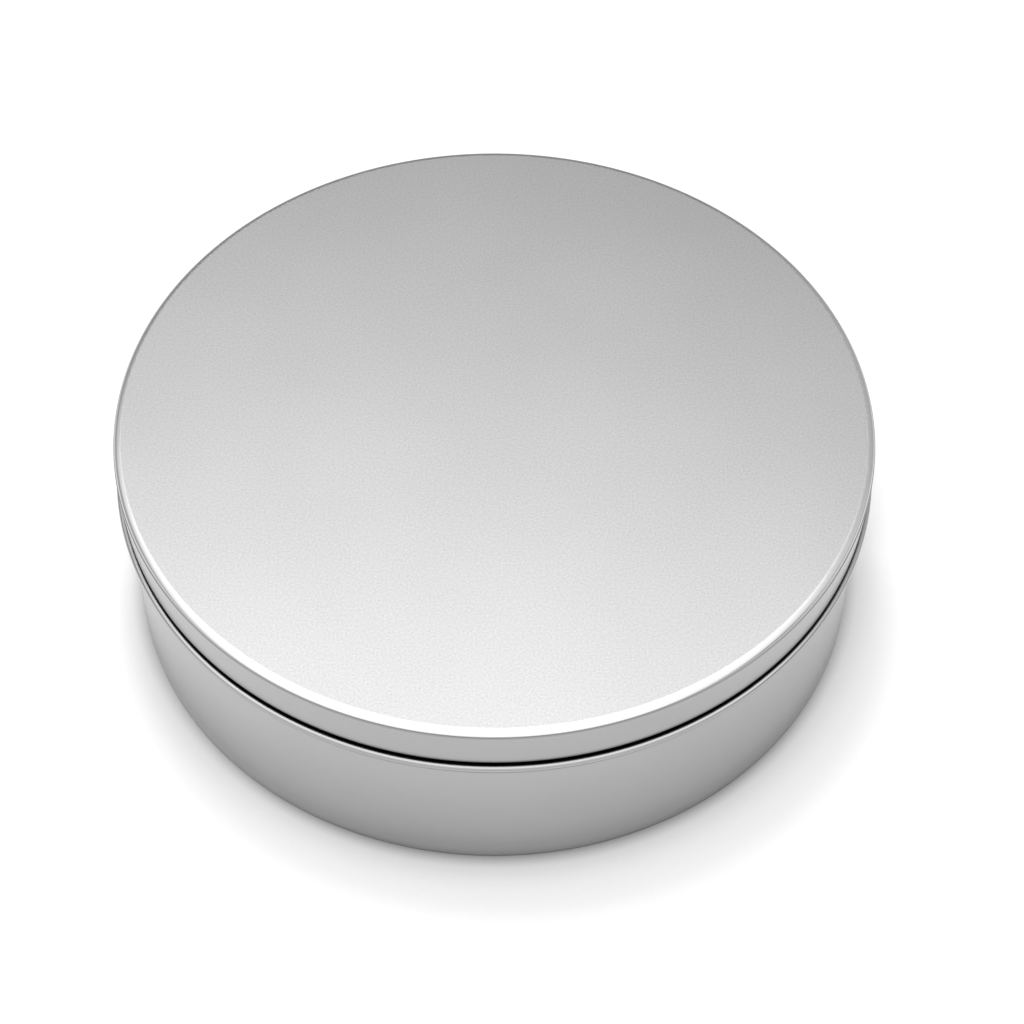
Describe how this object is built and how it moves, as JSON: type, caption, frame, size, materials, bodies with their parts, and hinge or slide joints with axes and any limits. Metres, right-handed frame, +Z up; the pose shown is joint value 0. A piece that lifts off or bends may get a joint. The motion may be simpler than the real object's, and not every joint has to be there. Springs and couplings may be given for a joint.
{
  "type": "biscuit tin",
  "caption": "Low round tinplate biscuit tin with a flat slip lid, a rolled bead under the lid's edge and a pressed base, for keeping biscuits dry.",
  "frame": {"origin": "centre of the ring that the tin stands on, on its upright axis", "axes": "+Z up along the tin's axis; +Y to the back, where the wall's side seam lies; +X to the right seen from the front"},
  "size_m": [0.1912, 0.1912, 0.056],
  "materials": {
    "lid_tinplate": "satin tinplate with a fine even grain",
    "wall_tinplate": "smooth satin tinplate",
    "base_tinplate": "smooth satin tinplate"
  },
  "bodies": {
    "tin": {"body_wall": "wall_tinplate", "base_plate": "base_tinplate"},
    "lid": {"lid": "lid_tinplate"}
  },
  "joints": [
    {"name": "lid_lift", "type": "slide", "parent": "tin", "child": "lid", "axis": [0, 0, 1], "range_m": [0, 0.1]}
  ]
}
